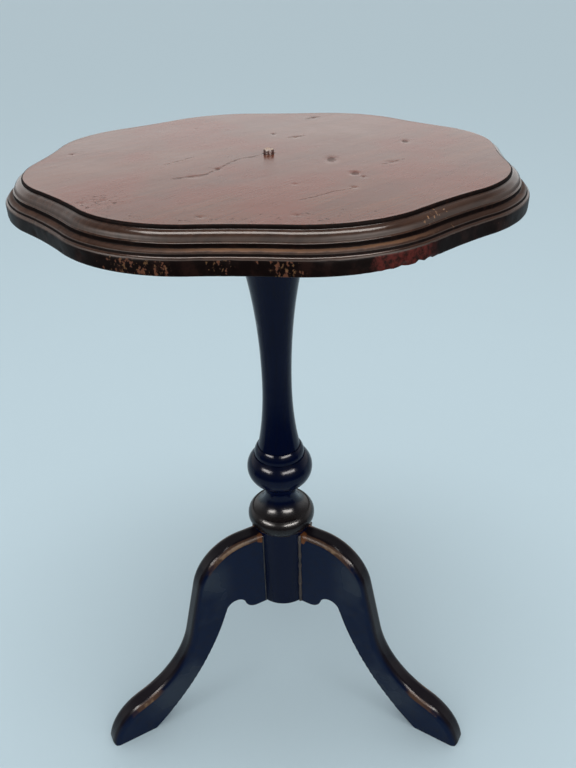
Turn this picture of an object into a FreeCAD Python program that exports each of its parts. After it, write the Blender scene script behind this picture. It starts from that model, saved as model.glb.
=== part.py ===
"""Wine table: a fixed lobed top on a turned column with three cabriole legs.

Millimetres. +Z is up. The origin is on the floor under the column's axis, and the front is towards -Y.
"""
import FreeCAD
import Part
import math
import os

# Whole table
TABLE_HEIGHT = 502.0
GLUE_GAP = 0.15          # round a glued dowel, tenon or tongue, on each side
SCREW_GAP = 0.15         # round a screw in its hole

# Top: an outline of lobes and shallow hollows
TOP_THICKNESS = 22.0
LOBE_COUNT = 8
TOP_ACROSS_LOBES = 337.0
LOBE_DEPTH = 7.0         # from a lobe's tip to the bottom of a hollow, along the radius
HOLLOW_RADIUS = 330.0    # of the shallow curve between two lobes
TOP_TURN_DEG = 19.2      # first lobe, from +X
RIM_FOOT_ROUND = 1.2     # lower edge of the rim

# Edge moulding, from the flat top outwards: step, ovolo, step, ovolo, ledge, rim
UPPER_STEP = 2.0
UPPER_OVOLO_OUT = 6.0
UPPER_OVOLO_DROP = 5.4
LOWER_STEP = 2.1
LOWER_OVOLO_OUT = 4.9
LOWER_OVOLO_DROP = 3.6
RIM_LEDGE = 0.7
CUTTER_MARGIN = 3.0      # how far the moulding cutter stands clear of the blank

# Boss under the top
BOSS_DIAMETER = 110.0
BOSS_THICKNESS = 16.0
BOSS_EDGE_ROUND = 6.0

# Peg through the top into the column's tenon
PEG_DIAMETER = 7.0
PEG_PROUD = 3.4
PEG_DEPTH = 26.0         # below the underside of the top
PEG_END_BEVEL = 0.6

# Drum at the column's foot, which takes the legs
DRUM_FOOT = 103.0        # above the floor
DRUM_HEIGHT = 83.5
DRUM_DIAMETER = 51.0
DRUM_BEVEL = 1.2

# Two turned rings above the drum, with a hollow neck between them and a collar on top
LOWER_RING_HEIGHT = 15.5
LOWER_RING_DIAMETER = 58.0
LOWER_RING_FOOT_DIAMETER = 50.8
LOWER_RING_TOP_DIAMETER = 50.6
LOWER_RING_WIDEST_SHARE = 0.39
NECK_HEIGHT = 29.5
NECK_DIAMETER = 27.6
NECK_FOOT_DIAMETER = 48.0
NECK_TOP_DIAMETER = 39.6
NECK_WAIST_SHARE = 0.542
UPPER_RING_HEIGHT = 26.5
UPPER_RING_DIAMETER = 55.2
UPPER_RING_FOOT_DIAMETER = 42.0
UPPER_RING_TOP_DIAMETER = 43.0
UPPER_RING_WIDEST_SHARE = 0.472
COLLAR_HEIGHT = 9.0
COLLAR_DIAMETER = 41.0
COLLAR_FOOT_DIAMETER = 41.6
COLLAR_TOP_DIAMETER = 36.4

# Shaft: two elliptical flares that meet at the waist
SHAFT_FOOT_DIAMETER = 35.0
WAIST_DIAMETER = 23.6
WAIST_SHARE = 0.339
LOWER_FLARE_TURN_DEG = 42.0
UPPER_FLARE_TURN_DEG = 50.0
FLARE_STATIONS = 7

# Column head: bead, land and tenon
HEAD_BEAD_HEIGHT = 11.0
HEAD_BEAD_DIAMETER = 60.0
HEAD_DIAMETER = 54.0
HEAD_LAND = 9.0
TENON_DIAMETER = 25.0
TENON_SHY = 0.5          # tenon end below the boss's upper face

# Legs: upper line from the root, then lower line; shares are of the run from the drum's flat to the toe
LEG_NAMES = ("leg_back", "leg_left", "leg_right")
FIRST_LEG_DEG = 90.0
LEG_REACH = 183.5        # toe from the column's axis
LEG_THICKNESS = 19.0
LEG_TOP_DROP = 3.0       # leg root below the drum's top
ROOT_TOP_SHARE = 0.102   # straight line before the knee
SHIN_SLOPE_DEG = 77.0
ANKLE_RADIUS_SHARE = 0.5
INSTEP_HEIGHT = 38.6     # where the ankle's curve meets the toe's
INSTEP_SLOPE_DEG = 19.0
TOE_RADIUS = 51.0
TOE_TUCK_UP = 2.0        # where the toe's curve ends above the floor
TOE_TUCK_IN = 1.5        # how far the toe tucks in below that
SOLE_LENGTH = 39.5
ARCH_BOW = 9.8           # how far the arch under the shin bows from a straight line
ARCH_END_SHARE = 0.252   # how far out the arch ends
ARCH_END_RISE = 6.0      # above the drum's foot
CUSP_PEAK_SHARE = 0.19   # how far out the cusp peaks
CUSP_PEAK_RISE = 16.0    # above the drum's foot
ROOT_FOOT_LENGTH = 9.3   # straight line before the root's lobe
ROOT_LOBE_RADIUS = 12.0
ROOT_LOBE_TURN_DEG = 82.0
LEG_TOP_ROUND = 6.0
LEG_ARCH_ROUND = 1.2

# Sliding dovetail between leg and drum
TONGUE_DEPTH = 9.0
TONGUE_NECK_WIDTH = 8.0
TONGUE_END_WIDTH = 11.6
TONGUE_SHY = 14.0        # tongue's upper end below the leg's root

# Iron plate under the drum
PLATE_THICKNESS = 2.0
PLATE_ARM_WIDTH = 13.0
PLATE_REACH = 8.8        # beyond the drum's flat

# Wood screws
BOSS_SCREW_COUNT = 4
BOSS_SCREW_CIRCLE = 80.0
BOSS_SCREW_DIAMETER = 4.0
BOSS_SCREW_LENGTH = 28.0
PLATE_SCREW_DIAMETER = 3.0
PLATE_SCREW_LENGTH = 14.0
PLATE_SCREW_OUT = 4.1    # beyond the drum's flat
SCREW_HEAD_SHARE = 2.0   # head diameter over shank diameter
SCREW_TIP_SHARE = 0.25   # tip diameter over shank diameter
SLOT_WIDTH_SHARE = 0.25  # driver slot over shank diameter
SLOT_DEPTH_SHARE = 0.25

# Wedges that spread the tenon
WEDGE_OFFSET = 7.6
WEDGE_DEPTH = 13.0
WEDGE_TOP_WIDTH = 2.4
WEDGE_TIP_WIDTH = 0.8
WEDGE_END_GAP = 0.4

# Derived heights and distances
TOP_UNDERSIDE = TABLE_HEIGHT - TOP_THICKNESS
HEAD_TOP = TOP_UNDERSIDE - BOSS_THICKNESS
TENON_TOP = TOP_UNDERSIDE - TENON_SHY
PEG_FOOT = TOP_UNDERSIDE - PEG_DEPTH
DRUM_TOP = DRUM_FOOT + DRUM_HEIGHT
NECK_FOOT = DRUM_TOP + LOWER_RING_HEIGHT
NECK_TOP = NECK_FOOT + NECK_HEIGHT
COLLAR_FOOT = NECK_TOP + UPPER_RING_HEIGHT
SHAFT_FOOT = COLLAR_FOOT + COLLAR_HEIGHT
BEAD_TOP = HEAD_TOP - HEAD_LAND
SHAFT_TOP = BEAD_TOP - HEAD_BEAD_HEIGHT
WAIST = SHAFT_FOOT + (SHAFT_TOP - SHAFT_FOOT) * WAIST_SHARE
LEG_TOP = DRUM_TOP - LEG_TOP_DROP
LEG_SHOULDER = math.sqrt((DRUM_DIAMETER / 2) ** 2 - (LEG_THICKNESS / 2) ** 2)
LEG_RUN = LEG_REACH - LEG_SHOULDER
ANKLE_RADIUS = LEG_RUN * ANKLE_RADIUS_SHARE
TONGUE_TOP = LEG_TOP - TONGUE_SHY
PLATE_FOOT = DRUM_FOOT - PLATE_THICKNESS
LEG_COUNT = len(LEG_NAMES)
LEG_STEP_DEG = 360 / LEG_COUNT
LOBE_STEP = 2 * math.pi / LOBE_COUNT
HOLLOW_BOTTOM = TOP_ACROSS_LOBES / 2 - LOBE_DEPTH
ORIGIN = FreeCAD.Vector(0, 0, 0)
UP = FreeCAD.Vector(0, 0, 1)


def vec(x, y, z):
    """A point."""
    return FreeCAD.Vector(x, y, z)


def polar(radius, angle, height):
    """A point at a radius and an angle in radians about the column's axis."""
    return vec(radius * math.cos(angle), radius * math.sin(angle), height)


def turned(shape, degrees):
    """A copy of the shape turned about the column's axis."""
    copy = shape.copy()
    copy.rotate(ORIGIN, UP, degrees)
    return copy


def rod(diameter, foot, top, out=0.0):
    """An upright cylinder between two heights, at a distance out along +X."""
    return Part.makeCylinder(diameter / 2, top - foot, vec(out, 0, foot), UP)


def prism(points, direction):
    """The solid that a closed outline of points sweeps along a direction."""
    return Part.Face(Part.makePolygon(points + points[:1])).extrude(direction)


def trace(start, steps):
    """The edges of an outline: a step of one point is a line, two points an arc, more a smooth curve."""
    edges = []
    for step in steps:
        if len(step) == 1:
            edges.append(Part.makeLine(start, step[0]))
        elif len(step) == 2:
            edges.append(Part.Arc(start, step[0], step[1]).toShape())
        else:
            curve = Part.BSplineCurve()
            curve.interpolate([start] + step)
            edges.append(curve.toShape())
        start = step[-1]
    return edges


def lobe_joins(index, height):
    """The two points where a lobe meets its hollows, and the way straight out at the first of them."""
    at = math.radians(TOP_TURN_DEG) + LOBE_STEP * index
    tip = TOP_ACROSS_LOBES / 2
    far = HOLLOW_BOTTOM + HOLLOW_RADIUS
    lean = far * math.cos(LOBE_STEP / 2)
    apart = tip ** 2 + far ** 2 - 2 * tip * lean - HOLLOW_RADIUS ** 2
    radius = apart / (2 * (tip - lean + HOLLOW_RADIUS))
    centre = polar(tip - radius, at, height)
    hollows = [polar(far, at + side * LOBE_STEP / 2, height) for side in (-1, 1)]
    ways = [(hollow - centre).normalize() for hollow in hollows]
    return [centre + way * radius for way in ways], ways[0]


def lobed_wire(height):
    """The rim's outline: a convex arc at each lobe, tangent to the hollow arcs on both sides of it."""
    steps = []
    for index in range(LOBE_COUNT):
        at = math.radians(TOP_TURN_DEG) + LOBE_STEP * index
        tip = polar(TOP_ACROSS_LOBES / 2, at, height)
        bottom = polar(HOLLOW_BOTTOM, at + LOBE_STEP / 2, height)
        steps.append([tip, lobe_joins(index, height)[0][1]])
        steps.append([bottom, lobe_joins(index + 1, height)[0][0]])
    return Part.Wire(trace(lobe_joins(0, height)[0][0], steps))


def moulding_wire():
    """The outline that the edge cutter sweeps, in the upright plane square to the start of the rim."""
    joins, out = lobe_joins(0, TABLE_HEIGHT)
    bulge = math.sqrt(1 / 2)

    def point(inset, drop):
        return joins[0] - out * inset - UP * drop

    def ovolo(inset, drop, width, fall):
        middle = point(inset - width * bulge, drop + fall * (1 - bulge))
        return [middle, point(inset - width, drop + fall)]

    lower_inset = LOWER_OVOLO_OUT + RIM_LEDGE
    flat_inset = UPPER_OVOLO_OUT + lower_inset
    lower_head = UPPER_STEP + UPPER_OVOLO_DROP + LOWER_STEP
    ledge = lower_head + LOWER_OVOLO_DROP
    clear = -CUTTER_MARGIN
    steps = [
        [point(flat_inset, UPPER_STEP)],
        ovolo(flat_inset, UPPER_STEP, UPPER_OVOLO_OUT, UPPER_OVOLO_DROP),
        [point(lower_inset, lower_head)],
        ovolo(lower_inset, lower_head, LOWER_OVOLO_OUT, LOWER_OVOLO_DROP),
        [point(clear, ledge)],
        [point(clear, clear)],
        [point(flat_inset, clear)],
    ]
    return Part.Wire(trace(point(flat_inset, clear), steps))


def boss_screw_places():
    """Where the boss screws stand, evenly round a circle."""
    step = 2 * math.pi / BOSS_SCREW_COUNT
    return [polar(BOSS_SCREW_CIRCLE / 2, step * (index + 1 / 2), 0) for index in range(BOSS_SCREW_COUNT)]


def plate_screw_places():
    """Where the plate screws stand: one in the column's centre and one in each leg's root."""
    angles = [math.radians(FIRST_LEG_DEG + LEG_STEP_DEG * index) for index in range(LEG_COUNT)]
    return [ORIGIN] + [polar(LEG_SHOULDER + PLATE_SCREW_OUT, angle, 0) for angle in angles]


def screw_body(diameter, length, foot, place, gap):
    """A countersunk screw that points up from its head's face, made larger all round by a gap."""
    shank = diameter / 2
    head = shank * SCREW_HEAD_SHARE
    tip = shank * SCREW_TIP_SHARE
    outline = [
        vec(0, 0, 0),
        vec(head + gap, 0, 0),
        vec(shank + gap, 0, head - shank),
        vec(shank + gap, 0, length - shank + tip),
        vec(tip + gap, 0, length),
        vec(0, 0, length),
    ]
    body = Part.Face(Part.makePolygon(outline + outline[:1])).revolve(ORIGIN, UP)
    body.translate(vec(place.x, place.y, foot))
    return body


def make_screws(diameter, length, foot, places):
    """A group of countersunk wood screws at one height, each with a driver slot across its head."""
    head = diameter * SCREW_HEAD_SHARE
    width = diameter * SLOT_WIDTH_SHARE
    screws = []
    for place in places:
        corner = vec(place.x - head / 2, place.y - width / 2, foot)
        slot = Part.makeBox(head, width, diameter * SLOT_DEPTH_SHARE, corner)
        screws.append(screw_body(diameter, length, foot, place, 0).cut(slot))
    return Part.Compound(screws)


def cut_boss_holes(body):
    """The body with the holes for the boss screws."""
    for place in boss_screw_places():
        body = body.cut(screw_body(BOSS_SCREW_DIAMETER, BOSS_SCREW_LENGTH, HEAD_TOP, place, SCREW_GAP))
    return body


def cut_plate_holes(body, places):
    """The body with a hole for a plate screw at each place."""
    for place in places:
        body = body.cut(screw_body(PLATE_SCREW_DIAMETER, PLATE_SCREW_LENGTH, PLATE_FOOT, place, SCREW_GAP))
    return body


def make_table_top():
    """The lobed board, with its moulded edge, peg hole and screw pilots."""
    board = Part.Face(lobed_wire(TOP_UNDERSIDE)).extrude(UP * TOP_THICKNESS)
    middle = TABLE_HEIGHT - TOP_THICKNESS / 2
    foot = [edge for edge in board.Edges if edge.optimalBoundingBox().ZMax < middle]
    board = board.makeFillet(RIM_FOOT_ROUND, foot)
    board = board.cut(lobed_wire(TABLE_HEIGHT).makePipeShell([moulding_wire()], True, True))
    board = board.cut(rod(PEG_DIAMETER + 2 * GLUE_GAP, TOP_UNDERSIDE, TABLE_HEIGHT))
    return cut_boss_holes(board)


def make_top_boss():
    """The turned disc under the top, bored for the column's tenon."""
    disc = rod(BOSS_DIAMETER, HEAD_TOP, TOP_UNDERSIDE)
    rims = [edge for edge in disc.Edges if edge.Closed and edge.BoundBox.ZMax < TOP_UNDERSIDE]
    disc = disc.makeFillet(BOSS_EDGE_ROUND, rims)
    disc = disc.cut(rod(TENON_DIAMETER + 2 * GLUE_GAP, HEAD_TOP, TOP_UNDERSIDE))
    return cut_boss_holes(disc)


def make_centre_peg():
    """The dowel that pins the top to the column and stands proud of the top."""
    peg = rod(PEG_DIAMETER, PEG_FOOT, TABLE_HEIGHT + PEG_PROUD)
    rims = [edge for edge in peg.Edges if edge.Closed and edge.BoundBox.ZMin > TABLE_HEIGHT]
    return peg.makeChamfer(PEG_END_BEVEL, rims)


def wedge_blank(side):
    """One wedge as wide as the tenon, which is also the kerf that it fills; side is -1 or 1."""
    middle = side * WEDGE_OFFSET
    start = -TENON_DIAMETER / 2
    outline = [
        vec(middle - WEDGE_TOP_WIDTH / 2, start, TENON_TOP),
        vec(middle + WEDGE_TOP_WIDTH / 2, start, TENON_TOP),
        vec(middle + WEDGE_TIP_WIDTH / 2, start, TENON_TOP - WEDGE_DEPTH),
        vec(middle - WEDGE_TIP_WIDTH / 2, start, TENON_TOP - WEDGE_DEPTH),
    ]
    return prism(outline, vec(0, TENON_DIAMETER, 0))


def make_tenon_wedges():
    """The two wedges that spread the tenon inside the boss, trimmed to its round."""
    inside = rod(TENON_DIAMETER - 2 * WEDGE_END_GAP, HEAD_TOP, TOP_UNDERSIDE)
    return Part.Compound([wedge_blank(side).common(inside) for side in (-1, 1)])


def flare(end_diameter, end_height, turn_deg):
    """Points from the waist to a flare's end, along part of an ellipse."""
    turn = math.radians(turn_deg)
    waist = WAIST_DIAMETER / 2
    wide = (end_diameter / 2 - waist) / (1 - math.cos(turn))
    tall = (end_height - WAIST) / math.sin(turn)
    angles = [turn * index / FLARE_STATIONS for index in range(FLARE_STATIONS + 1)]
    return [vec(waist + wide * (1 - math.cos(at)), 0, WAIST + tall * math.sin(at)) for at in angles]


def column_wire():
    """The turned outline of the column, from its foot to its tenon, closed along the axis."""
    def at(diameter, height):
        return vec(diameter / 2, 0, height)

    lower_widest = DRUM_TOP + LOWER_RING_HEIGHT * LOWER_RING_WIDEST_SHARE
    upper_widest = NECK_TOP + UPPER_RING_HEIGHT * UPPER_RING_WIDEST_SHARE
    lower_flare = flare(SHAFT_FOOT_DIAMETER, SHAFT_FOOT, LOWER_FLARE_TURN_DEG)
    upper_flare = flare(HEAD_DIAMETER, SHAFT_TOP, UPPER_FLARE_TURN_DEG)
    steps = [
        [at(DRUM_DIAMETER - 2 * DRUM_BEVEL, DRUM_FOOT)],
        [at(DRUM_DIAMETER, DRUM_FOOT + DRUM_BEVEL)],
        [at(DRUM_DIAMETER, DRUM_TOP)],
        [at(LOWER_RING_FOOT_DIAMETER, DRUM_TOP)],
        [at(LOWER_RING_DIAMETER, lower_widest), at(LOWER_RING_TOP_DIAMETER, NECK_FOOT)],
        [at(NECK_FOOT_DIAMETER, NECK_FOOT)],
        [at(NECK_DIAMETER, NECK_FOOT + NECK_HEIGHT * NECK_WAIST_SHARE), at(NECK_TOP_DIAMETER, NECK_TOP)],
        [at(UPPER_RING_FOOT_DIAMETER, NECK_TOP)],
        [at(UPPER_RING_DIAMETER, upper_widest), at(UPPER_RING_TOP_DIAMETER, COLLAR_FOOT)],
        [at(COLLAR_FOOT_DIAMETER, COLLAR_FOOT)],
        [at(COLLAR_DIAMETER, COLLAR_FOOT + COLLAR_HEIGHT / 2), at(COLLAR_TOP_DIAMETER, SHAFT_FOOT)],
        [lower_flare[-1]],
        lower_flare[-2::-1],
        upper_flare[1:],
        [at(HEAD_BEAD_DIAMETER, SHAFT_TOP + HEAD_BEAD_HEIGHT / 2), at(HEAD_DIAMETER, BEAD_TOP)],
        [at(HEAD_DIAMETER, HEAD_TOP)],
        [at(TENON_DIAMETER, HEAD_TOP)],
        [at(TENON_DIAMETER, TENON_TOP)],
        [at(0, TENON_TOP)],
        [at(0, DRUM_FOOT)],
    ]
    return Part.Wire(trace(at(0, DRUM_FOOT), steps))


def tongue(gap):
    """The dovetail tongue of a leg that points along +X, made larger by a gap for its housing."""
    end = LEG_SHOULDER - TONGUE_DEPTH - gap
    half_neck = TONGUE_NECK_WIDTH / 2 + gap
    half_end = TONGUE_END_WIDTH / 2 + gap
    outline = [
        vec(LEG_SHOULDER, -half_neck, DRUM_FOOT),
        vec(LEG_SHOULDER, half_neck, DRUM_FOOT),
        vec(end, half_end, DRUM_FOOT),
        vec(end, -half_end, DRUM_FOOT),
    ]
    return prism(outline, UP * (TONGUE_TOP + gap - DRUM_FOOT))


def leg_flat():
    """The waste beyond the flat where a leg's shoulder meets the drum, for a leg along +X."""
    corner = vec(LEG_SHOULDER, -LEG_THICKNESS / 2, DRUM_FOOT)
    return Part.makeBox(DRUM_DIAMETER / 2, LEG_THICKNESS, LEG_TOP - DRUM_FOOT, corner)


def make_column():
    """The turned column, with flats and dovetail housings for the legs and holes for peg and wedges."""
    column = Part.Face(column_wire()).revolve(ORIGIN, UP)
    for index in range(LEG_COUNT):
        degrees = FIRST_LEG_DEG + LEG_STEP_DEG * index
        column = column.cut(turned(leg_flat(), degrees))
        column = column.cut(turned(tongue(GLUE_GAP), degrees))
    column = column.cut(rod(PEG_DIAMETER + 2 * GLUE_GAP, PEG_FOOT, TENON_TOP))
    column = column.cut(wedge_blank(-1)).cut(wedge_blank(1))
    return cut_plate_holes(column, [ORIGIN])


def swing(centre, radius, degrees):
    """A point on a circle in the leg's plane, at an angle from straight up towards the toe."""
    turn = math.radians(degrees)
    return centre + vec(math.sin(turn), 0, math.cos(turn)) * radius


def leg_upper_steps():
    """The leg's upper line from the root: flat, knee, shin, ankle and toe, tangent to one another."""
    toe_centre_up = INSTEP_HEIGHT - TOE_RADIUS * math.cos(math.radians(INSTEP_SLOPE_DEG))
    toe_deg = math.degrees(math.acos((TOE_TUCK_UP - toe_centre_up) / TOE_RADIUS))
    toe = vec(LEG_REACH, 0, TOE_TUCK_UP)
    toe_centre = swing(toe, -TOE_RADIUS, toe_deg)
    toe_middle = swing(toe_centre, TOE_RADIUS, (INSTEP_SLOPE_DEG + toe_deg) / 2)
    ankle_end = swing(toe_centre, TOE_RADIUS, INSTEP_SLOPE_DEG)
    ankle_centre = swing(ankle_end, ANKLE_RADIUS, INSTEP_SLOPE_DEG)
    ankle_middle = swing(ankle_centre, -ANKLE_RADIUS, (SHIN_SLOPE_DEG + INSTEP_SLOPE_DEG) / 2)
    shin_end = swing(ankle_centre, -ANKLE_RADIUS, SHIN_SLOPE_DEG)
    knee_top = vec(LEG_SHOULDER + LEG_RUN * ROOT_TOP_SHARE, 0, LEG_TOP)
    slope = math.radians(SHIN_SLOPE_DEG)
    corner = shin_end.x - (LEG_TOP - shin_end.z) / math.tan(slope)
    knee_radius = (corner - knee_top.x) / math.tan(slope / 2)
    knee_centre = knee_top - UP * knee_radius
    knee_middle = swing(knee_centre, knee_radius, SHIN_SLOPE_DEG / 2)
    knee_end = swing(knee_centre, knee_radius, SHIN_SLOPE_DEG)
    return [[knee_top], [knee_middle, knee_end], [shin_end], [ankle_middle, ankle_end], [toe_middle, toe]]


def leg_lower_steps(toe):
    """The leg's lower line from the toe back to the root: tuck, sole, arch, cusp and root lobe."""
    tread = vec(toe.x - TOE_TUCK_IN, 0, 0)
    heel = vec(tread.x - SOLE_LENGTH, 0, 0)
    arch_end = vec(LEG_SHOULDER + LEG_RUN * ARCH_END_SHARE, 0, DRUM_FOOT + ARCH_END_RISE)
    chord = arch_end - heel
    bow = vec(-chord.z, 0, chord.x).normalize() * ARCH_BOW
    cusp = vec(LEG_SHOULDER + LEG_RUN * CUSP_PEAK_SHARE, 0, DRUM_FOOT + CUSP_PEAK_RISE)
    lobe_foot = vec(LEG_SHOULDER + ROOT_FOOT_LENGTH, 0, DRUM_FOOT)
    lobe_centre = lobe_foot + UP * ROOT_LOBE_RADIUS
    lobe_middle = swing(lobe_centre, -ROOT_LOBE_RADIUS, -ROOT_LOBE_TURN_DEG / 2)
    lobe_end = swing(lobe_centre, -ROOT_LOBE_RADIUS, -ROOT_LOBE_TURN_DEG)
    return [
        [tread],
        [heel],
        [heel + chord / 2 + bow, arch_end],
        [cusp, lobe_end],
        [lobe_middle, lobe_foot],
        [vec(LEG_SHOULDER, 0, DRUM_FOOT)],
    ]


def rounded(leg, edges, radius):
    """The leg with both of its side edges rounded along the given edges of its outline."""
    chosen = []
    for edge in edges:
        middle = edge.valueAt((edge.FirstParameter + edge.LastParameter) / 2)
        for side in (-1, 1):
            probe = Part.Vertex(middle + vec(0, side * LEG_THICKNESS / 2, 0))
            chosen.append(min(leg.Edges, key=lambda found: found.distToShape(probe)[0]))
    return leg.makeFillet(radius, chosen)


def make_leg():
    """One cabriole leg along +X, with its rounded edges and its dovetail tongue."""
    root = vec(LEG_SHOULDER, 0, LEG_TOP)
    upper_steps = leg_upper_steps()
    toe = upper_steps[-1][-1]
    upper = trace(root, upper_steps)
    lower = trace(toe, leg_lower_steps(toe) + [[root]])
    arch = lower[2]
    side = Part.Face(Part.Wire(upper + lower))
    side.translate(vec(0, -LEG_THICKNESS / 2, 0))
    leg = side.extrude(vec(0, LEG_THICKNESS, 0))
    leg = rounded(leg, upper, LEG_TOP_ROUND)
    leg = rounded(leg, [arch], LEG_ARCH_ROUND)
    leg = leg.fuse(tongue(0)).removeSplitter()
    return cut_plate_holes(leg, [vec(LEG_SHOULDER + PLATE_SCREW_OUT, 0, 0)])


def make_leg_plate():
    """The three-armed iron plate under the drum and the roots of the legs."""
    end = LEG_SHOULDER + PLATE_REACH - PLATE_ARM_WIDTH / 2
    plate = rod(PLATE_ARM_WIDTH, PLATE_FOOT, DRUM_FOOT)
    for index in range(LEG_COUNT):
        corner = vec(0, -PLATE_ARM_WIDTH / 2, PLATE_FOOT)
        arm = Part.makeBox(end, PLATE_ARM_WIDTH, PLATE_THICKNESS, corner)
        arm = arm.fuse(rod(PLATE_ARM_WIDTH, PLATE_FOOT, DRUM_FOOT, end))
        plate = plate.fuse(turned(arm, FIRST_LEG_DEG + LEG_STEP_DEG * index))
    return cut_plate_holes(plate.removeSplitter(), plate_screw_places())


def make_parts():
    """Every node by name."""
    plate_places = plate_screw_places()
    parts = {
        "table_top": make_table_top(),
        "top_boss": make_top_boss(),
        "centre_peg": make_centre_peg(),
        "tenon_wedges": make_tenon_wedges(),
        "column": make_column(),
        "leg_plate": make_leg_plate(),
        "boss_screws": make_screws(BOSS_SCREW_DIAMETER, BOSS_SCREW_LENGTH, HEAD_TOP, boss_screw_places()),
        "plate_screws": make_screws(PLATE_SCREW_DIAMETER, PLATE_SCREW_LENGTH, PLATE_FOOT, plate_places),
    }
    leg = make_leg()
    for index, name in enumerate(LEG_NAMES):
        parts[name] = turned(leg, FIRST_LEG_DEG + LEG_STEP_DEG * index)
    return parts


os.makedirs("parts", exist_ok=True)
for node, shape in make_parts().items():
    shape.exportStep("parts/" + node + ".step")
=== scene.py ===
"""Looks of the wine table: a worn mahogany top on an ebonised column and legs.

Lengths are metres in the part's own frame: +Z up, origin on the floor under the column.
"""
import logging
import math
from dataclasses import dataclass
from enum import Enum
from functools import reduce
from typing import Dict, List, NamedTuple, Optional, Tuple, Union

import bmesh
import bpy
from mathutils import Matrix, Vector, noise


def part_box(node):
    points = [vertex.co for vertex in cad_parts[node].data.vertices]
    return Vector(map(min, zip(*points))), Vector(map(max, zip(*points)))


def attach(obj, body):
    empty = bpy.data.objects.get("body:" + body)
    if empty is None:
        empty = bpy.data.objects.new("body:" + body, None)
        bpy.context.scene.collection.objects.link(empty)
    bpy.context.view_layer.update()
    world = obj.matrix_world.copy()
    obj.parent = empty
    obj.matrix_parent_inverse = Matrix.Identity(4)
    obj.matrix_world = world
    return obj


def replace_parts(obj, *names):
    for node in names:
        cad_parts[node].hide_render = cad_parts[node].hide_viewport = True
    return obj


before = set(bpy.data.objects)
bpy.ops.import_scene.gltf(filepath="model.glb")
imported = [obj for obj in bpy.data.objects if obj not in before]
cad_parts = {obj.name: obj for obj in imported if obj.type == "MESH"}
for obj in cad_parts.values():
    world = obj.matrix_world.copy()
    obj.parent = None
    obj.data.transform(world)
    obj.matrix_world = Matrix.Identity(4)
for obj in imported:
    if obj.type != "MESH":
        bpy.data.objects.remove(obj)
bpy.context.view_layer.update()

LOG = logging.getLogger("wine_table")
BODY = "root"
TOUCH = 1e-6                        # points closer than this are one place
HAIR = 1e-7                         # the least step that counts at the edge of the flat
GRAIN_TURN = math.radians(47.0)     # the direction of the board's grain
Colour = Tuple[float, float, float]
Point = Tuple[float, float, float]
Pair = Tuple[float, float]
Mesh = bmesh.types.BMesh
Node = bpy.types.Node
Socket = bpy.types.NodeSocket
Value = Union[float, Tuple[float, ...], Socket]


class Slot(Enum):
    """The record's material slots, which new pieces are given but do not use."""

    TOP = "top_mahogany"
    PEG = "peg_wood"
    EBONY = "ebonised_wood"


class LegPlace(Enum):
    """Each leg's node, with the angle in degrees at which it stands out from the column."""

    BACK = ("leg_back", 90.0)
    LEFT = ("leg_left", 210.0)
    RIGHT = ("leg_right", 330.0)

    @property
    def node(self) -> str:
        """The leg's node name."""
        return self.value[0]

    @property
    def turn(self) -> float:
        """The leg's angle in radians."""
        return math.radians(self.value[1])


class Zone(Enum):
    """The board's finishes, by their place among its materials."""

    FLAT = 0
    MOULDING = 1
    RIM = 2
    # the steps of the moulding: dirt and painted shade
    DIRT_AND_SHADE = 3
    UNDERSIDE = 4
    CREST = 5


class Attribute(Enum):
    """Point attributes of the board, which its finishes and its wear read."""

    EDGE = "edge"        # 1 on the moulding and the rim
    RUB = "rub"          # 1 on the crest that hands rub
    # the creases are darkened for dirt and for painted shade
    GRIME = "grime"      # 1 in the creases of the moulding
    RIM = "rim"          # 1 on the rim below the moulding
    RAW = "raw"          # 1 on the underside
    DENT = "dent"        # 1 at the bottom of a dent


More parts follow.
